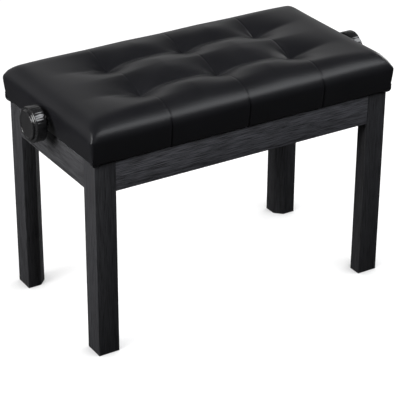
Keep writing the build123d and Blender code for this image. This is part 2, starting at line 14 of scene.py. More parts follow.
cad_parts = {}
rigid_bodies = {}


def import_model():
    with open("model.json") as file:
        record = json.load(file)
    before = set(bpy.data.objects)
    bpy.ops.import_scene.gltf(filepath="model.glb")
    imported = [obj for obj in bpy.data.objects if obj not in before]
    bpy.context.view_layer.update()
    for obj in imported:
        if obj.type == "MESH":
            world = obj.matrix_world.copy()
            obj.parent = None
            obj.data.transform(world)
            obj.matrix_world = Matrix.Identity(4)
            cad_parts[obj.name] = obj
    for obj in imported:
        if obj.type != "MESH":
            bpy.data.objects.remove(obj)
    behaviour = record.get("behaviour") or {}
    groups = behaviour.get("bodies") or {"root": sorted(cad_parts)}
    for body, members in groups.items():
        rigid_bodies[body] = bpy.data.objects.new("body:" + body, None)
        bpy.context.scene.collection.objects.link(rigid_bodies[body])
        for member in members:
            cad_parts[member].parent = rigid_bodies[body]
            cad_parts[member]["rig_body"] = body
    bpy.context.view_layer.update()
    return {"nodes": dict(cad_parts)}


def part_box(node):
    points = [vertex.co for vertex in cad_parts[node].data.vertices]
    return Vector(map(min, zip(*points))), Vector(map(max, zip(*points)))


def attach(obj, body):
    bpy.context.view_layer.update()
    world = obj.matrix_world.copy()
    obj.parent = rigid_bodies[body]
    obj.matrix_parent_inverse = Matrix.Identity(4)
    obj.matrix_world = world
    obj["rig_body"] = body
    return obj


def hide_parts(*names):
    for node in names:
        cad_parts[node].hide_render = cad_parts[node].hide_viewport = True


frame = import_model()

# Legs
# Four square posts of open-pored hardwood, stained black under a thin satin lacquer. Their inner corner is cut
# off for the steel brace, and all edges are eased with sandpaper before staining.
wood_ease = 0.0011
grain_across = 1150.0
grain_along = 34.0
noise_span = (0.3, 0.7)
figure_levels = (0.94, 1.05)
tone_span = (0.36, 0.59)
pore_span = (0.36, 0.47)
stain_dark = (0.010, 0.010, 0.011, 1)
leg_stain = (0.034, 0.034, 0.037, 1)
same_point = 1e-6
flat_angle = 0.01
sharp_angle = 0.6
ease_steps = 2
corners = ("front_left", "front_right", "rear_left", "rear_right")


def add_node(tree, kind, inputs=None, **settings):
    """Adds a shader node. Each input is a plain value, or the socket that it is linked from."""
    made = tree.nodes.new("ShaderNode" + kind)
    for name, value in settings.items():
        setattr(made, name, value)
    for name, value in (inputs or {}).items():
        if isinstance(value, bpy.types.NodeSocket):
            tree.links.new(value, made.inputs[name])
        else:
            made.inputs[name].default_value = value
    return made


def shade_between(tree, value, dark, light, start=0.0, end=1.0):
    """Colour that runs from dark to light as a value goes from start to end."""
    ramp = add_node(tree, "ValToRGB", {"Fac": value})
    for stop, place, colour in zip(ramp.color_ramp.elements, (start, end), (dark, light)):
        stop.position = place
        stop.color = colour
    return ramp.outputs["Color"]


def level_between(tree, value, low, high, start=0.0, end=1.0):
    """Number that runs from low to high as a value goes from start to end."""
    inputs = {"Value": value, "From Min": start, "From Max": end, "To Min": low, "To Max": high}
    return add_node(tree, "MapRange", inputs).outputs["Result"]


def new_group(name, inputs, outputs):
    """Empty shader group with named sockets, its coordinates, and its input and output nodes."""
    tree = bpy.data.node_groups.new(name, "ShaderNodeTree")
    for socket, kind in inputs:
        tree.interface.new_socket(socket, in_out="INPUT", socket_type="NodeSocket" + kind)
    for socket in outputs:
        tree.interface.new_socket(socket, in_out="OUTPUT", socket_type="NodeSocketFloat")
    place = add_node(tree, "TexCoord").outputs["Object"]
    return tree, place, tree.nodes.new("NodeGroupInput"), tree.nodes.new("NodeGroupOutput")


def new_finish(name):
    """New material with its shader."""
    finish = bpy.data.materials.new(name)
    finish.use_nodes = True
    return finish, finish.node_tree, finish.node_tree.nodes["Principled BSDF"]


def set_sockets(tree, shader, **sockets):
    """Sets or links the shader's sockets, named with underscores for spaces."""
    for name, value in sockets.items():
        socket = shader.inputs[name.replace("_", " ")]
        if isinstance(value, bpy.types.NodeSocket):
            tree.links.new(value, socket)
        else:
            socket.default_value = value


def bump(tree, height, distance, strength=1.0):
    """Normal from a height, as deep as the distance."""
    inputs = {"Height": height, "Distance": distance, "Strength": strength}
    return add_node(tree, "Bump", inputs).outputs["Normal"]


def make_open_grain():
    """Group: long pores and broader figure of wood, stretched by the scale along each axis."""
    tree, place, given, result = new_group("open_grain", [("Run", "Vector")], ("Tone", "Pores"))
    run = add_node(tree, "VectorMath", {0: place, 1: given.outputs["Run"]}, operation="MULTIPLY")
    stretched = run.outputs["Vector"]
    streaks = add_node(tree, "TexNoise", {"Vector": stretched, "Scale": 1.0, "Detail": 4.0, "Roughness": 0.62})
    figure = add_node(tree, "TexNoise", {"Vector": stretched, "Scale": 0.1, "Detail": 2.0, "Distortion": 0.3})
    soft_figure = level_between(tree, figure.outputs["Fac"], *figure_levels, *noise_span)
    both = add_node(tree, "Math", {0: streaks.outputs["Fac"], 1: soft_figure}, operation="MULTIPLY")
    tone = level_between(tree, both.outputs["Value"], 0.0, 1.0, *tone_span)
    pores = level_between(tree, streaks.outputs["Fac"], 1.0, 0.0, *pore_span)
    tree.links.new(tone, result.inputs["Tone"])
    tree.links.new(pores, result.inputs["Pores"])
    return tree


def black_wood(name, run, stain_and_painted_light):
    """Black stained wood whose grain runs along the axis with the smallest scale; the light end of its tone is
    given per part, lighter on the rails as painted light.
    """
    finish, tree, shader = new_finish(name)
    grain = add_node(tree, "Group", {"Run": run}, node_tree=open_grain)
    tone, pores = grain.outputs["Tone"], grain.outputs["Pores"]
    set_sockets(
        tree,
        shader,
        Base_Color=shade_between(tree, tone, stain_dark, stain_and_painted_light),
        Roughness=level_between(tree, pores, 0.48, 0.7),
        Specular_IOR_Level=0.2,
        Normal=bump(tree, pores, -0.0004, 0.5),
    )
    return finish


def place_mesh(name, form, finish):
    """New piece from a bmesh, smooth apart from its sharp edges."""
    mesh = bpy.data.meshes.new(name)
    form.to_mesh(mesh)
    form.free()
    mesh.shade_smooth()
    mesh.set_sharp_from_angle(angle=sharp_angle)
    mesh.materials.append(finish)
    piece = bpy.data.objects.new(name, mesh)
    bpy.context.scene.collection.objects.link(piece)
    return piece


def stand_for(piece, node):
    """Puts a piece in the place of a node, on the same body, and hides the node."""
    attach(piece, frame["nodes"][node]["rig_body"])
    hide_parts(node)


def eased_piece(node, ease, finish):
    """The node's own shape with every sharp edge rounded over, as a piece that stands for the node."""
    form = bmesh.new()
    form.from_mesh(frame["nodes"][node].data)
    bmesh.ops.remove_doubles(form, verts=form.verts, dist=same_point)
    bmesh.ops.dissolve_limit(form, angle_limit=flat_angle, verts=form.verts, edges=form.edges)
    sharp = [e for e in form.edges if e.is_manifold and e.calc_face_angle() > sharp_angle]
    bmesh.ops.bevel(
        form, geom=sharp, offset=ease, offset_type="OFFSET", segments=ease_steps, profile=0.5,
        affect="EDGES", clamp_overlap=True,
    )
    stand_for(place_mesh(node + "_finished", form, finish), node)


open_grain = make_open_grain()
upright_wood = black_wood("black_wood_upright", (grain_across, grain_across, grain_along), leg_stain)
for corner in corners:
    eased_piece("leg_" + corner, wood_ease, upright_wood)

# Rails
# Four boards of the same wood between the legs, flush with their outer faces, with the grain along the board.
# Their eased ends leave a fine dark line where they meet the legs.
# Painted light: the rails are coloured lighter than the legs of the same wood, the long rails most, for the light
# that they catch.
rail_tone_painted_lighter = (0.094, 0.094, 0.104, 1)
end_rail_tone_painted_lighter = (0.049, 0.049, 0.052, 1)
long_wood = black_wood("black_wood_long", (grain_along, grain_across, grain_across), rail_tone_painted_lighter)
cross_wood = black_wood("black_wood_cross", (grain_across, grain_along, grain_across), end_rail_tone_painted_lighter)
for node in ("front_rail", "rear_rail"):
    eased_piece(node, wood_ease, long_wood)
for node in ("end_rail_left", "end_rail_right"):
    eased_piece(node, wood_ease, cross_wood)

# Corner braces, leg bolts and nuts
# Bent strips of zinc-plated steel across the inner corners, screwed to the rails. A bolt from each leg passes
# through the strip into a hexagon nut, which pulls the leg tight against the rails.
steel_ease = 0.0004
screw_radius = 0.0019
screw_point = 0.0003
screw_head_radius = 0.004
screw_head_height = 0.0022
screw_head_round = ((0.62, 0.98), (0.28, 0.86), (0.0, 0.66))
screw_tip = 0.003
screw_steps = 24
cross_arm = 0.0019
cross_width = 0.0006
cross_depth = 0.0013
cross_taper = 0.7
zinc_dark = (0.42, 0.43, 0.45, 1)
zinc_light = (0.66, 0.67, 0.69, 1)


def make_mottle():
    """Group: soft cloudy patches and fine grain, as on plated, painted and moulded surfaces."""
    tree, place, given, result = new_group("mottle", [("Patch", "Float"), ("Grain", "Float")], ("Cloud", "Fine"))
    cloud = add_node(tree, "TexNoise", {"Vector": place, "Scale": given.outputs["Patch"], "Detail": 3.0})
    fine = add_node(tree, "TexNoise", {"Vector": place, "Scale": given.outputs["Grain"], "Detail": 2.0})
    tree.links.new(cloud.outputs["Fac"], result.inputs["Cloud"])
    tree.links.new(fine.outputs["Fac"], result.inputs["Fine"])
    return tree


def zinc_plate():
    """Zinc-plated steel: bright, with cloudy patches."""
    finish, tree, shader = new_finish("zinc_plate")
    surface = add_node(tree, "Group", {"Patch": 90.0, "Grain": 1400.0}, node_tree=mottle)
    set_sockets(
        tree,
        shader,
        Base_Color=shade_between(tree, surface.outputs["Cloud"], zinc_dark, zinc_light, *noise_span),
        Metallic=1.0,
        Roughness=level_between(tree, surface.outputs["Cloud"], 0.42, 0.26, *noise_span),
        Normal=bump(tree, surface.outputs["Fine"], 0.00005, 0.5),
    )
    return finish


def screws_of(node):
    """Middle of the head, axis into the wood and length of each screw, read from the node's own solids."""
    form = bmesh.new()
    form.from_mesh(frame["nodes"][node].data)
    bmesh.ops.remove_doubles(form, verts=form.verts, dist=same_point)
    waiting = set(form.verts)
    screws = []
    while waiting:
        reached = [waiting.pop()]
        for point in reached:
            beyond = {edge.other_vert(point) for edge in point.link_edges} & waiting
            waiting -= beyond
            reached += beyond
        points = np.array([point.co for point in reached])
        low, high = points.min(axis=0), points.max(axis=0)
        along = int(np.argmax(high - low))
        middle = (low + high) / 2
        off_axis = np.delete(points - middle, along, axis=1)
        head = points[np.hypot(*off_axis.T) > (screw_radius + screw_head_radius) / 2]
        inward = np.zeros(3)
        inward[along] = -1 if head[:, along].mean() > middle[along] else 1
        screws.append((middle - inward * (high - low)[along] / 2, inward, (high - low)[along]))
    form.free()
    return screws


def join_rings(form, rings):
    """Faces between rings of points that follow each other along an axis."""
    for first, second in zip(rings, rings[1:]):
        for step in range(len(first)):
            after = (step + 1) % len(first)
            form.faces.new((first[step], first[after], second[after], second[step]))


def add_screw(form, top, inward, length):
    """Pan-head screw with a cross recess, turned round its axis."""
    section = [(length, screw_point), (length - screw_tip, screw_radius), (screw_head_height, screw_radius)]
    section.append((screw_head_height, screw_head_radius))
    section += [(high * screw_head_height, wide * screw_head_radius) for high, wide in screw_head_round]
    stand = Matrix.Translation(top) @ Vector(inward).to_track_quat("Z", "Y").to_matrix().to_4x4()
    rings = []
    for depth, radius in section:
        ring = []
        for step in range(screw_steps):
            turn = 2 * math.pi * step / screw_steps
            ring.append(form.verts.new(stand @ Vector((radius * math.cos(turn), radius * math.sin(turn), depth))))
        rings.append(ring)
    join_rings(form, rings)
    form.faces.new(rings[0])
    outline = []
    for quarter in range(4):
        for x, y in ((cross_arm, -cross_width), (cross_arm, cross_width), (cross_width, cross_width)):
            outline.append(Matrix.Rotation(quarter * math.pi / 2, 3, "Z") @ Vector((x, y, 0)))
    mouth = [form.verts.new(stand @ p) for p in outline]
    bottom = [form.verts.new(stand @ (cross_taper * p + Vector((0, 0, cross_depth)))) for p in outline]
    join_rings(form, [mouth, bottom])
    form.faces.new(bottom)
    rims = [form.edges.get((loop[i - 1], loop[i])) for loop in (rings[-1], mouth) for i in range(len(loop))]
    bmesh.ops.triangle_fill(form, use_beauty=True, edges=rims)


def screw_piece(node):
    """All the screws of a node, as one piece that stands for it."""
    form = bmesh.new()
    for top, inward, length in screws_of(node):
        add_screw(form, top, inward, length)
    bmesh.ops.recalc_face_normals(form, faces=form.faces)
    stand_for(place_mesh(node + "_finished", form, zinc), node)


mottle = make_mottle()
zinc = zinc_plate()
for node in ("corner_braces", "leg_nuts"):
    eased_piece(node, steel_ease, zinc)
for place in frame["nodes"]["leg_bolts"].material_slots:
    place.material = zinc
screw_piece("brace_screws")

# Lower frame
# Two pressed channels screwed to the end rails and two angle bars between them, all powder-coated black. The
# fixed shafts of the linkage are plated and headed over outside the bars.
coat_dark = (0.016, 0.016, 0.0175, 1)
coat_light = (0.03, 0.03, 0.032, 1)


def powder_coat():
    """Black powder coat on steel, with the fine orange peel that it sets to."""
    finish, tree, shader = new_finish("powder_coat")
    surface = add_node(tree, "Group", {"Patch": 30.0, "Grain": 700.0}, node_tree=mottle)
    set_sockets(
        tree,
        shader,
        Base_Color=shade_between(tree, surface.outputs["Cloud"], coat_dark, coat_light, *noise_span),
        Roughness=level_between(tree, surface.outputs["Cloud"], 0.38, 0.5, *noise_span),
        Normal=bump(tree, surface.outputs["Fine"], 0.00012, 0.6),
    )
    return finish


coated_steel = powder_coat()
for side in ("left", "right"):
    eased_piece("lower_end_channel_" + side, steel_ease, coated_steel)
for face in ("front", "rear"):
    eased_piece("lower_spine_" + face, steel_ease, coated_steel)
for side in ("left", "right"):
    eased_piece("lower_shaft_" + side, steel_ease, zinc)
screw_piece("channel_screws")

# Arms
# Flat bars with round ends, blanked from black-coated plate. The long arms carry the elbow shaft at their middle
# and the short arms turn on its ends.
for side in ("left", "right"):
    for face in ("front", "rear"):
        eased_piece(f"long_arm_{side}_{face}", steel_ease, coated_steel)
        eased_piece(f"short_arm_{side}_{face}", steel_ease, coated_steel)
    eased_piece("elbow_shaft_" + side, steel_ease, zinc)

# Travellers
# Nut blocks of plated steel on the spindle, with a turned journal at each side. The long arms' upper ends turn on
# the journals, which ride in the guide slots of the upper frame.
for side in ("left", "right"):
    eased_piece("traveller_" + side, steel_ease, zinc)

# Upper frame
# The same pressed channels and angle bars turned over and screwed up into the seat board. Headed pins join the
# short arms to the bars.
for side in ("left", "right"):
    eased_piece("upper_end_channel_" + side, steel_ease, coated_steel)
for face in ("front", "rear"):
    eased_piece("upper_spine_" + face, steel_ease, coated_steel)
eased_piece("seat_pivot_pins", steel_ease, zinc)
screw_piece("board_screws")

# Stabilisers
# Crossed flat bars of black-coated steel at each end, riveted at the middle, that keep the seat from rocking.
# Plated rivets with low heads join their ends to the end channels, where one end of each bar slides in a slot.
for side in ("left", "right"):
    for layer in ("outer", "inner"):
        eased_piece(f"stabiliser_{side}_{layer}", steel_ease, coated_steel)
        eased_piece(f"stabiliser_{side}_{layer}_rivets", steel_ease, zinc)

# Seat box
# Plywood board on four side boards, glued and stapled, and coloured near-black so that it does not show
# under the seat.
board_ease = 0.0006
board_run = (14.0, 260.0, 900.0)
board_dark = (0.018, 0.016, 0.015, 1)
board_light = (0.05, 0.045, 0.04, 1)


def near_black_board():
    """Plywood coloured near-black, with its grain and patches showing."""
    finish, tree, shader = new_finish("near_black_board")
    grain = add_node(tree, "Group", {"Run": board_run}, node_tree=open_grain)
    set_sockets(
        tree,
        shader,
        Base_Color=shade_between(tree, grain.outputs["Tone"], board_dark, board_light),
        Roughness=level_between(tree, grain.outputs["Pores"], 0.62, 0.8),
        Specular_IOR_Level=0.3,
        Normal=bump(tree, grain.outputs["Pores"], -0.0002, 0.4),
    )
    return finish


board_finish = near_black_board()
for node in ("seat_board", "side_board_front", "side_board_rear", "side_board_left", "side_board_right"):
    eased_piece(node, board_ease, board_finish)

# Cushion
# Foam slab under black synthetic leather, cut in panels whose cross seams run down the front and back. Six
# tufts are pulled down by twine, the corners are mitred, and the hem is turned under and stapled to the boards.
seat_low, seat_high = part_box("seat_cover")
half_length = seat_high.x
half_depth = seat_high.y
crown_height = 0.0284
edge_z = seat_high.z - crown_height
edge_roll = 0.009
roll_steps = 5
corner_power = 4.0
end_roll = 0.024
end_roll_share = 0.55
end_roll_power = 2
end_slope = 0.2
end_slope_power = 1.3
front_slope = 0.085
front_slope_power = 3
side_draw_in = 0.004
side_bow = 1.3
side_start = 0.15
side_steps = 7
under_roll = 0.0055
under_steps = 3
hem_insets = (0.015, 0.021)
cell = 0.005
knot_radius = 0.003
tuft_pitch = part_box("tuft_twines")[1].x - knot_radius
tuft_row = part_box("tuft_twines")[1].y - knot_radius
seam_lines = (-tuft_pitch, 0.0, tuft_pitch)
seam_width = 0.0015
row_depth = 0.0135
row_end = 0.035
seam_depth = 0.0040
seam_reach = 0.065
seam_ends = (0.03, 0.11)
crease_power = 1.8
tuft_depth = 0.0220
tuft_radius = 0.037
tuft_power = 1.15
dip_power = 3
dip_clear = 0.05
tuft_hold = 0.006
row_hold = 0.002
row_hold_weight = 0.6
row_hold_end = 0.05
seam_hold = 0.001
seam_hold_weight = 0.3
side_hold = 0.8
swell_frames = 20
swell_cap = 0.004
seam_draw_top = 0.0004
seam_draw_side = 0.0018
seam_turn = (-0.010, 0.004)
mitre_draw = 0.0005
mitre_width = 0.0018
mitre_turn = (-0.012, -0.004)
pleat_count = 7
pleat_height = 0.0008
pleat_reach = 0.012
pleat_start = 0.006
pleat_shift = 1.7
pleat_row_shift = 40
tiny = 1e-9
cover_thickness = 0.0012
spindle_z = (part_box("spindle")[0].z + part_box("spindle")[1].z) / 2
spindle_hole = 0.008
leather_dark = (0.0064, 0.0064, 0.0075, 1)
leather_light = (0.0086, 0.0086, 0.0099, 1)


def grid_lines(stops, half):
    """Grid lines across the cushion, even between the stops and spaced round the rolled edge."""
    flat = half - edge_roll
    marks = [0.0]
    for start, end in zip(stops, stops[1:] + [flat]):
        steps = max(1, round((end - start) / cell))
        marks += [start + (end - start) * (i + 1) / steps for i in range(steps)]
    marks += [flat + edge_roll * math.sin(math.pi / 2 * (i + 1) / roll_steps) for i in range(roll_steps)]
    return np.array([-m for m in marks[:0:-1]] + marks)


def smooth_step(x, start, end):
    """0 before start, 1 after end, smooth between."""
    t = np.clip((x - start) / (end - start), 0, 1)
    return t * t * (3 - 2 * t)


def crown(x, y):
    """Height of the tufted top above the edge: full panels, pulled down along the rows and most at the tufts."""
    from_end = half_length - np.abs(x)
    from_front = half_depth - np.abs(y)
    tight_fall = (1 - np.clip(from_end / end_roll, 0, 1)) ** end_roll_power
    broad_fall = (1 - np.clip(from_end / end_slope, 0, 1)) ** end_slope_power
    end_fall = end_roll_share * tight_fall + (1 - end_roll_share) * broad_fall
    front_fall = (1 - np.clip(from_front / front_slope, 0, 1)) ** front_slope_power
    full = 1 - np.minimum((end_fall**corner_power + front_fall**corner_power) ** (1 / corner_power), 1)
    to_seam = np.min([np.abs(x - seam) for seam in seam_lines], axis=0)
    to_row = np.abs(np.abs(y) - tuft_row)
    fade = 1 - smooth_step(np.abs(x), tuft_pitch, half_length - row_end)
    row = row_depth * fade * (1 - np.clip(to_row / tuft_row, 0, 1)) ** crease_power
    seam = seam_depth * (1 - np.clip(to_seam / seam_reach, 0, 1)) ** crease_power
    seam = seam * smooth_step(from_front, *seam_ends)
    tuft = tuft_depth * np.exp(-((np.hypot(to_seam, to_row) / tuft_radius) ** tuft_power))
    dip = (row**dip_power + seam**dip_power + tuft**dip_power) ** (1 / dip_power)
    return np.maximum(crown_height * full - dip * np.clip(from_front / dip_clear, 0, 1), 0)


def side_rows():
    """Rows down the side as (outset, height): upright under the edge, drawn in below, then turned under."""
    top = edge_z - edge_roll
    foot = seat_low.z + under_roll
    rows = []
    for share in np.linspace(side_start, 1, side_steps):
        rows.append((-side_draw_in * share**side_bow, top + (foot - top) * share))
    for step in range(1, under_steps + 1):
        angle = math.pi / 2 * step / under_steps
        inward = side_draw_in + under_roll * (1 - math.cos(angle))
        rows.append((-inward, foot - under_roll * math.sin(angle)))
    for inset in hem_insets:
        rows.append((-inset, seat_low.z))
    return rows


def cushion_points():
    """Points of the top grid and of the rows below its border, with the faces between them."""
    beside = [seam_width, 3 * seam_width]
    stops = [0.0] + beside + [tuft_pitch - b for b in beside[::-1]]
    stops += [tuft_pitch] + [tuft_pitch + b for b in beside]
    xs, ys = grid_lines(stops, half_length), grid_lines([0.0, tuft_row], half_depth)
    x, y = np.meshgrid(xs, ys, indexing="ij")
    flat_x, flat_y = half_length - edge_roll, half_depth - edge_roll
    a = np.maximum(np.abs(x) - flat_x, 0) / edge_roll
    b = np.maximum(np.abs(y) - flat_y, 0) / edge_roll
    out = np.maximum(a, b)
    norm = np.maximum((a**corner_power + b**corner_power) ** (1 / corner_power), tiny)
    pull = np.where(out > 0, out / norm, 1)
    px = np.sign(x) * np.where(a > 0, flat_x + edge_roll * a * pull, np.abs(x))
    py = np.sign(y) * np.where(b > 0, flat_y + edge_roll * b * pull, np.abs(y))
    pz = edge_z + crown(px, py) - edge_roll * (1 - np.sqrt(np.clip(1 - out**2, 0, 1)))
    count_x, count_y = len(xs), len(ys)
    points = [np.stack([px, py, pz], axis=-1).reshape(-1, 3)]
    faces = []
    for i in range(count_x - 1):
        for j in range(count_y - 1):
            first = i * count_y + j
            faces.append((first, first + count_y, first + count_y + 1, first + 1))
    border = [i * count_y for i in range(count_x)]
    border += [(count_x - 1) * count_y + j for j in range(1, count_y)]
    border += [i * count_y + count_y - 1 for i in range(count_x - 2, -1, -1)]
    border += [j for j in range(count_y - 2, 0, -1)]
    rim = points[0][border]
    normal = np.stack([np.sign(x) * a ** (corner_power - 1), np.sign(y) * b ** (corner_power - 1)], axis=-1)
    normal = normal.reshape(-1, 2)[border]
    normal /= np.linalg.norm(normal, axis=1)[:, None]
    above = border
    for outset, height in side_rows():
        start = sum(len(p) for p in points)
        row = rim.copy()
        row[:, :2] += normal * outset
        row[:, 2] = height
        points.append(row)
        below = list(range(start, start + len(border)))
        for k in range(len(border)):
            after = (k + 1) % len(border)
            faces.append((above[k], below[k], below[after], above[after]))
        above = below
    return np.concatenate(points), faces


def stuff(piece, held):
    """Swells the leather with a cloth simulation that holds points by their weights and caps how far they go."""
    mesh = piece.data
    start = np.array([v.co for v in mesh.vertices])
    group = piece.vertex_groups.new(name="held")
    for index, weight in enumerate(held):
        if weight > 0:
            group.add([index], float(weight), "REPLACE")
    cloth = piece.modifiers.new("stuffing", "CLOTH")
    cloth.settings.quality = 6
    cloth.settings.mass = 0.25
    cloth.settings.tension_stiffness = 25
    cloth.settings.compression_stiffness = 12
    cloth.settings.shear_stiffness = 8
    cloth.settings.bending_stiffness = 1.2
    cloth.settings.use_pressure = True
    cloth.settings.uniform_pressure_force = 1.6
    cloth.settings.vertex_group_mass = "held"
    cloth.settings.effector_weights.gravity = 0
    scene = bpy.context.scene
    for step in range(1, swell_frames + 1):
        scene.frame_set(step)
    swollen = piece.evaluated_get(bpy.context.evaluated_depsgraph_get())
    moved = np.array([v.co for v in swollen.data.vertices]) - start
    length = np.linalg.norm(moved, axis=1)
    moved *= np.minimum(1, swell_cap / np.maximum(length, tiny))[:, None]
    mesh.vertices.foreach_set("co", (start + moved).ravel())
    piece.modifiers.remove(cloth)
    piece.vertex_groups.remove(group)
    scene.frame_set(1)
    mesh.update()


def applied(piece):
    """Applies the piece's modifiers to its mesh."""
    made = bpy.data.meshes.new_from_object(piece.evaluated_get(bpy.context.evaluated_depsgraph_get()))
    piece.modifiers.clear()
    piece.data = made


def sew(mesh):
    """Draws the leather in along the cross seams and corners, and in small pleats round each tuft."""
    count = len(mesh.vertices)
    place, normal = np.zeros(count * 3), np.zeros(count * 3)
    mesh.vertices.foreach_get("co", place)
    mesh.vertices.foreach_get("normal", normal)
    place, normal = place.reshape(-1, 3), normal.reshape(-1, 3)
    x, y, z = place.T
    on_side = 1 - smooth_step(z - edge_z, *seam_turn)
    draw = np.zeros(count)
    for seam in seam_lines:
        draw -= (seam_draw_top + seam_draw_side * on_side) * np.exp(-(((x - seam) / seam_width) ** 2))
    from_end, from_front = half_length - np.abs(x), half_depth - np.abs(y)
    at_corner = np.exp(-(((from_end - from_front) / mitre_width) ** 2))
    draw -= mitre_draw * at_corner * (1 - smooth_step(z - edge_z, *mitre_turn))
    for index, seam in enumerate(seam_lines):
        for row in (-tuft_row, tuft_row):
            far = np.hypot(x - seam, y - row)
            turn = np.arctan2(y - row, x - seam)
            shift = pleat_shift * index + pleat_row_shift * row
            pleats = np.cos(pleat_count * turn + shift) * np.exp(-far / pleat_reach)
            draw += pleat_height * pleats * smooth_step(far, 0, pleat_start) * (z > edge_z)
    mesh.vertices.foreach_set("co", (place + normal * draw[:, None]).ravel())
    mesh.update()


def open_spindle_holes(mesh):
    """Cuts a round hole through the leather at each end for the spindle."""
    form = bmesh.new()
    form.from_mesh(mesh)
    inside = []
    for point in form.verts:
        far = math.hypot(point.co.y, point.co.z - spindle_z)
        if abs(point.co.x) > half_length / 2 and far < spindle_hole:
            inside.append(point)
    bmesh.ops.delete(form, geom=inside, context="VERTS")
    for edge in form.edges:
        if edge.is_boundary:
            for point in edge.verts:
                away = Vector((0, point.co.y, point.co.z - spindle_z))
                if away.length < 2 * spindle_hole and abs(point.co.x) > half_length / 2:
                    away = away.normalized() * spindle_hole
                    point.co.y, point.co.z = away.y, spindle_z + away.z
    form.to_mesh(mesh)
    form.free()


def black_leather():
    """Synthetic leather: fine pebbled grain under a soft shine."""
    finish, tree, shader = new_finish("black_leather")
    surface = add_node(tree, "Group", {"Patch": 14.0, "Grain": 420.0}, node_tree=mottle)
    place = add_node(tree, "TexCoord").outputs["Object"]
    pebble = add_node(tree, "TexVoronoi", {"Vector": place, "Scale": 900.0, "Randomness": 1.0})
    pebbled = {0: pebble.outputs["Distance"], 1: surface.outputs["Fine"]}
    grain = add_node(tree, "Math", pebbled, operation="MULTIPLY")
    set_sockets(
        tree,
        shader,
        Base_Color=shade_between(tree, surface.outputs["Cloud"], leather_dark, leather_light, *noise_span),
        Roughness=level_between(tree, surface.outputs["Cloud"], 0.31, 0.36, *noise_span),
        Specular_IOR_Level=0.16,
        Normal=bump(tree, grain.outputs["Value"], 0.0001, 0.3),
    )
    return finish


def make_cushion():
    """The stuffed and sewn cushion as one closed cover with its hem."""
    points, faces = cushion_points()
    mesh = bpy.data.meshes.new("cushion")
    mesh.from_pydata(points.tolist(), [], faces)
    piece = bpy.data.objects.new("cushion", mesh)
    bpy.context.scene.collection.objects.link(piece)
    x, y, z = points.T
    to_seam = np.min([np.abs(x - seam) for seam in seam_lines], axis=0)
    to_row = np.abs(np.abs(y) - tuft_row)
    on_top = z > edge_z - edge_roll / 2
    in_tufts = np.abs(x) < tuft_pitch + row_hold_end
    held = np.where(z < edge_z - side_hold * edge_roll, 1.0, 0.0)
    held = np.maximum(held, np.where(on_top & (np.hypot(to_seam, to_row) < tuft_hold), 1.0, 0.0))
    held = np.maximum(held, np.where(on_top & in_tufts & (to_row < row_hold), row_hold_weight, 0.0))
    held = np.maximum(held, np.where(to_seam < seam_hold, seam_hold_weight, 0.0))
    stuff(piece, held)
    divide = piece.modifiers.new("divide", "SUBSURF")
    divide.levels = divide.render_levels = 1
    applied(piece)
    sew(piece.data)
    open_spindle_holes(piece.data)
    thicken = piece.modifiers.new("cover", "SOLIDIFY")
    thicken.thickness = cover_thickness
    thicken.offset = -1
    applied(piece)
    piece.data.shade_smooth()
    piece.data.materials.append(black_leather())
    return piece


cushion = make_cushion()
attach(cushion, "seat")
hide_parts("seat_cover", "seat_foam", "side_wadding")

# Hem staples
# Plated wire staples with flat crowns, driven up through the turned-under hem into the lower edges of the side
# boards, in a row along each side.
staple_length = 0.010
staple_width = 0.0011
staple_height = 0.0005
staple_pitch = 0.034
staple_inset = 0.0125
staple_clear = 0.030


def staple_rows():
    """Places of the staples along the four sides of the hem, with their lengthwise axis."""
    rows = []
    for half, across, axis in ((half_length, half_depth, 0), (half_depth, half_length, 1)):
        reach = half - staple_clear
        count = round(2 * reach / staple_pitch)
        for i in range(count + 1):
            for side in (-1, 1):
                place = [0.0, 0.0, seat_low.z - staple_height / 2]
                place[axis] = -reach + 2 * reach * i / count
                place[1 - axis] = side * (across - staple_inset)
                rows.append((place, axis))
    return rows


staple_form = bmesh.new()
for place, axis in staple_rows():
    size = [staple_width, staple_width, staple_height]
    size[axis] = staple_length
    stand = Matrix.Translation(place) @ Matrix.Diagonal((*size, 1.0))
    bmesh.ops.create_cube(staple_form, size=1.0, matrix=stand)
staples = place_mesh("hem_staples", staple_form, zinc)
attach(staples, "seat")

# Tuft twines
# Waxed twine that pulls each tuft down through the foam and is knotted under the board. Its upper end is caught
# under the leather.
twine_catch = 0.008
twine_dark = (0.36, 0.31, 0.22, 1)
twine_light = (0.56, 0.5, 0.38, 1)


def waxed_twine():
    """Twisted yarn with a dull wax."""
    finish, tree, shader = new_finish("waxed_twine")
    surface = add_node(tree, "Group", {"Patch": 260.0, "Grain": 1900.0}, node_tree=mottle)
    set_sockets(
        tree,
        shader,
        Base_Color=shade_between(tree, surface.outputs["Fine"], twine_dark, twine_light, *noise_span),
        Roughness=level_between(tree, surface.outputs["Cloud"], 0.6, 0.8),
        Normal=bump(tree, surface.outputs["Fine"], 0.0002, 0.7),
    )
    return finish


twine_form = bmesh.new()
twine_form.from_mesh(frame["nodes"]["tuft_twines"].data)
for point in twine_form.verts:
    if point.co.z > edge_z:
        point.co.z -= twine_catch
stand_for(place_mesh("tuft_twines_finished", twine_form, waxed_twine()), "tuft_twines")

# Spindle, bushes and collars
# One plated rod from knob to knob, turning in nylon bushes between two collars. Its two halves have rolled
# threads of opposite hand, which draw the travellers apart.
spindle_low, spindle_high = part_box("spindle")
spindle_radius = (spindle_high.z - spindle_low.z) / 2
thread_pitch = 0.003
thread_depth = 0.0009
thread_start = 0.050
thread_end = 0.160
thread_steps = 24
pitch_steps = 6
bush_dark = (0.5, 0.49, 0.45, 1)
bush_light = (0.62, 0.61, 0.57, 1)


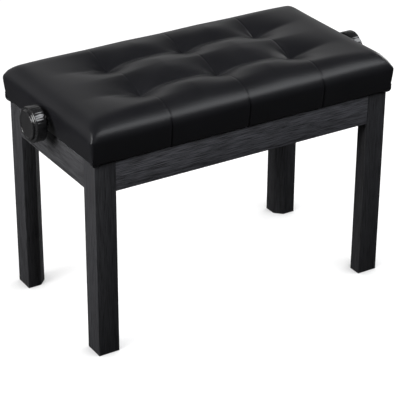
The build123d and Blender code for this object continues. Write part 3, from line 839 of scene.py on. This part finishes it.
def natural_nylon():
    """Natural nylon, slightly waxy."""
    finish, tree, shader = new_finish("natural_nylon")
    surface = add_node(tree, "Group", {"Patch": 120.0, "Grain": 1500.0}, node_tree=mottle)
    set_sockets(
        tree,
        shader,
        Base_Color=shade_between(tree, surface.outputs["Cloud"], bush_dark, bush_light, *noise_span),
        Roughness=level_between(tree, surface.outputs["Fine"], 0.4, 0.5),
        Subsurface_Weight=0.1,
    )
    return finish


def thread_height(x, turn):
    """Radius of the spindle at a place along it and an angle round it: plain, or the flank of a thread."""
    along = abs(x)
    if not thread_start < along < thread_end:
        return spindle_radius
    runout = min(1.0, (along - thread_start) / thread_pitch, (thread_end - along) / thread_pitch)
    phase = (along / thread_pitch - turn / (2 * math.pi)) % 1.0
    return spindle_radius - thread_depth * runout * (1 - abs(2 * phase - 1))


def spindle_form():
    """The rod with a right-hand thread on one half and a left-hand thread on the other."""
    form = bmesh.new()
    pitches = round((thread_end - thread_start) / thread_pitch)
    half = list(np.linspace(thread_start, thread_end, pitches * pitch_steps + 1)) + [spindle_high.x]
    rings = []
    for x in [-x for x in half[::-1]] + half:
        ring = []
        for step in range(thread_steps):
            turn = 2 * math.pi * step / thread_steps
            r = thread_height(x, turn)
            ring.append(form.verts.new((x, r * math.cos(turn), spindle_z + r * math.sin(turn))))
        rings.append(ring)
    join_rings(form, rings)
    form.faces.new(rings[0])
    form.faces.new(rings[-1])
    bmesh.ops.recalc_face_normals(form, faces=form.faces)
    return form


stand_for(place_mesh("spindle_threaded", spindle_form(), zinc), "spindle")
eased_piece("spindle_bushes", steel_ease, natural_nylon())
eased_piece("spindle_collars", steel_ease, zinc)

# Hand knobs
# Glossy moulded plastic, pressed on to the spindle's ends: a grip with fine flutes on a narrower hub, and a
# raised boss with a shallow dish in its face.
knob_dark = (0.011, 0.011, 0.0115, 1)
knob_light = (0.014, 0.014, 0.0145, 1)
knob_flutes = 36
flute_steps = 8
flute_depth = 0.0003
flute_share = 0.4
knob_low, knob_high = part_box("knob_right")
knob_length = knob_high.x - knob_low.x
knob_radius = 0.029
knob_bore = 0.0062
knob_hub = 0.020
hub_edge = 0.0008
knob_neck = 0.004
knob_body = 0.023
knob_edge = 0.0020
knob_back_edge = 0.0025
edge_steps = 5
boss_radius = 0.0235
boss_edge = 0.0010
boss_foot = 0.0005
dish_radius = 0.0190
dish_depth = 0.0008
dish_dome = 0.0004
dish_lip = 0.0010
dish_wall = (0.0006, 0.0003)
dish_rings = (0.97, 0.8, 0.5, 0.1)


def rounded_edge(end, radius, edge):
    """Points of a quarter round where a cylinder meets its end face."""
    points = []
    for step in range(edge_steps + 1):
        angle = math.pi / 2 * step / edge_steps
        points.append((end - edge * (1 - math.sin(angle)), radius - edge * (1 - math.cos(angle)), 0))
    return points


def knob_profile():
    """Half section of the knob as (distance along the axis from the seat side, radius, whether it is fluted)."""
    section = [(0.0, knob_bore, 0), (0.0, knob_hub - hub_edge, 0)]
    section += [(hub_edge, knob_hub, 0), (knob_neck, knob_hub, 0)]
    section += [(knob_neck, knob_radius - knob_back_edge, 0), (knob_neck + hub_edge, knob_radius - hub_edge, 0)]
    section += [(knob_neck + knob_edge, knob_radius, 1), (knob_body - 2 * knob_edge, knob_radius, 1)]
    section += rounded_edge(knob_body, knob_radius, knob_edge)
    section += [(knob_body, boss_radius + boss_foot, 0), (knob_body + boss_foot, boss_radius, 0)]
    section += rounded_edge(knob_length, boss_radius, boss_edge)
    section.append((knob_length, dish_radius + dish_lip, 0))
    section.append((knob_length - dish_wall[0], dish_radius + dish_wall[1], 0))
    for share in dish_rings:
        section.append((knob_length - dish_depth + dish_dome * (1 - share**2), dish_radius * share, 0))
    return section


def knob_form(side):
    """The knob turned round the spindle, with shallow flutes round its grip."""
    form = bmesh.new()
    round_steps = knob_flutes * flute_steps
    rings = []
    for along, radius, fluted in knob_profile():
        ring = []
        for step in range(round_steps):
            turn = 2 * math.pi * step / round_steps
            across = abs((step % flute_steps) / flute_steps - 0.5) * 2 / flute_share
            r = radius - fluted * flute_depth * max(0.0, 1 - across**2)
            place = (side * (knob_low.x + along), r * math.cos(turn), spindle_z + r * math.sin(turn))
            ring.append(form.verts.new(place))
        rings.append(ring)
    join_rings(form, rings)
    form.faces.new(rings[-1])
    bmesh.ops.recalc_face_normals(form, faces=form.faces)
    return form


def glossy_plastic():
    """Glossy black moulded plastic with a trace of handling."""
    finish, tree, shader = new_finish("glossy_plastic")
    surface = add_node(tree, "Group", {"Patch": 60.0, "Grain": 900.0}, node_tree=mottle)
    set_sockets(
        tree,
        shader,
        Base_Color=shade_between(tree, surface.outputs["Cloud"], knob_dark, knob_light, *noise_span),
        Roughness=level_between(tree, surface.outputs["Cloud"], 0.10, 0.16, *noise_span),
        Normal=bump(tree, surface.outputs["Fine"], 0.00002, 0.4),
    )
    return finish


knob_plastic = glossy_plastic()
for name, side in (("knob_left", -1), ("knob_right", 1)):
    stand_for(place_mesh(name + "_finished", knob_form(side), knob_plastic), name)

# Studio
# Pale floor and backdrop that the camera sees as white, a large soft light high in front on the right, and weaker
# ones at both ends and behind. The camera stands in front of the left end, well above the seat.
camera_place = (-1.3029, -2.0992, 1.4189)
camera_azimuth = math.radians(-31.868)
camera_elevation = math.radians(27.335)
camera_roll = math.radians(0.320)
camera_lens = 149.77
camera_sensor = 36.0
floor_half = 8.0
floor_white = (0.25, 0.25, 0.25, 1)
floor_pale = (0.06, 0.06, 0.06, 1)
white = (1, 1, 1, 1)
plain_light = (1.0, 1.0, 1.0)
cool_light = (0.95, 0.97, 1.0)
room_dim = (0.05, 0.05, 0.052, 1)
room_back = (0.55, 0.55, 0.55, 1)
floor_to_camera = 0.93
contact_reach = 0.16
wall_side = (0.45, 0.8)
wall_top = (0.40, 0.70)
white_to_gloss = 0.02


def white_share(tree, to_camera):
    """How much of plain white a ray sees: most from the camera or through glass, and a little in reflections."""
    ray = add_node(tree, "LightPath")
    through = {0: ray.outputs["Is Camera Ray"], 1: ray.outputs["Is Transmission Ray"]}
    clear = add_node(tree, "Math", through, operation="MAXIMUM")
    seen = add_node(tree, "Math", {0: clear.outputs[0], 1: to_camera}, operation="MULTIPLY")
    gloss = add_node(tree, "Math", {0: ray.outputs["Is Glossy Ray"], 1: white_to_gloss}, operation="MULTIPLY")
    share = add_node(tree, "Math", {0: seen.outputs[0], 1: gloss.outputs[0]}, operation="MAXIMUM")
    return share.outputs[0], ray


def white_floor():
    """Matt floor, brought to white for the camera by a glow, keeping its lamp shadow, and with a painted shadow
    where ambient occlusion dims the glow, deepest close to the feet.
    """
    finish, tree, _ = new_finish("white_floor")
    tree.nodes.clear()
    share, ray = white_share(tree, floor_to_camera)
    colour = shade_between(tree, ray.outputs["Is Camera Ray"], floor_pale, floor_white)
    matt = add_node(tree, "BsdfDiffuse", {"Color": colour})
    # Painted shadow: ambient occlusion dims the white glow close to the bench's feet.
    painted_contact_shadow = add_node(tree, "AmbientOcclusion", {"Distance": contact_reach}, samples=16)
    lit = add_node(tree, "Math", {0: share, 1: painted_contact_shadow.outputs["AO"]}, operation="MULTIPLY")
    glow = add_node(tree, "Emission", {"Color": white, "Strength": lit.outputs[0]})
    both = add_node(tree, "AddShader", {0: matt.outputs[0], 1: glow.outputs[0]})
    add_node(tree, "OutputMaterial", {"Surface": both.outputs[0]})
    return finish


def studio_world():
    """White to the camera; for the light on the bench, a dim room with a paler wall behind it."""
    world = bpy.data.worlds.new("studio")
    world.use_nodes = True
    tree = world.node_tree
    tree.nodes.clear()
    way = add_node(tree, "SeparateXYZ", {"Vector": add_node(tree, "TexCoord").outputs["Generated"]})
    behind = level_between(tree, way.outputs["Y"], 0.0, 1.0, *wall_side)
    low = level_between(tree, way.outputs["Z"], 1.0, 0.0, *wall_top)
    pale = add_node(tree, "Math", {0: behind, 1: low}, operation="MULTIPLY")
    room = add_node(tree, "Background", {"Color": shade_between(tree, pale.outputs[0], room_dim, room_back)})
    backdrop = add_node(tree, "Background", {"Color": white, "Strength": 1.0})
    share, _ = white_share(tree, 1.0)
    seen = add_node(tree, "MixShader", {0: share, 1: room.outputs[0], 2: backdrop.outputs[0]})
    add_node(tree, "OutputWorld", {"Surface": seen.outputs[0]})
    return world


def soft_light(name, place, target, size, watts, colour, spread):
    """Large rectangular light that faces a point, with a grid that limits its spread."""
    lamp = bpy.data.lights.new(name, "AREA")
    lamp.shape = "RECTANGLE"
    lamp.size, lamp.size_y = size
    lamp.energy = watts
    lamp.color = colour
    lamp.spread = math.radians(spread)
    light = bpy.data.objects.new(name, lamp)
    light.location = place
    light.rotation_euler = (Vector(target) - Vector(place)).to_track_quat("-Z", "Y").to_euler()
    bpy.context.scene.collection.objects.link(light)


floor_form = bmesh.new()
bmesh.ops.create_grid(floor_form, x_segments=1, y_segments=1, size=floor_half)
floor = place_mesh("floor", floor_form, white_floor())
bpy.context.scene.world = studio_world()
soft_light(
    "light_front", place=(1.10, -1.15, 2.15), target=(0, 0, 0.35), size=(1.9, 1.1),
    watts=50.0, colour=cool_light, spread=180,
)
soft_light(
    "light_left", place=(-1.9, -0.1, 1.25), target=(0, 0, 0.25), size=(1.2, 1.2),
    watts=12.0, colour=plain_light, spread=60,
)
soft_light(
    "light_right", place=(1.9, 0.5, 0.55), target=(0, 0, 0.25), size=(1.2, 0.9),
    watts=7.0, colour=plain_light, spread=60,
)
soft_light(
    "light_back", place=(0.10, 1.75, 1.70), target=(0, 0, 0.4), size=(1.0, 1.0),
    watts=0.7, colour=plain_light, spread=180,
)

lens = bpy.data.cameras.new("camera")
lens.lens = camera_lens
lens.sensor_width = camera_sensor
camera = bpy.data.objects.new("camera", lens)
turn = Matrix.Rotation(camera_azimuth, 4, "Z") @ Matrix.Rotation(math.pi / 2 - camera_elevation, 4, "X")
camera.matrix_world = Matrix.Translation(camera_place) @ turn @ Matrix.Rotation(camera_roll, 4, "Z")
bpy.context.scene.collection.objects.link(camera)
bpy.context.scene.camera = camera
bpy.context.scene.view_settings.view_transform = "Standard"
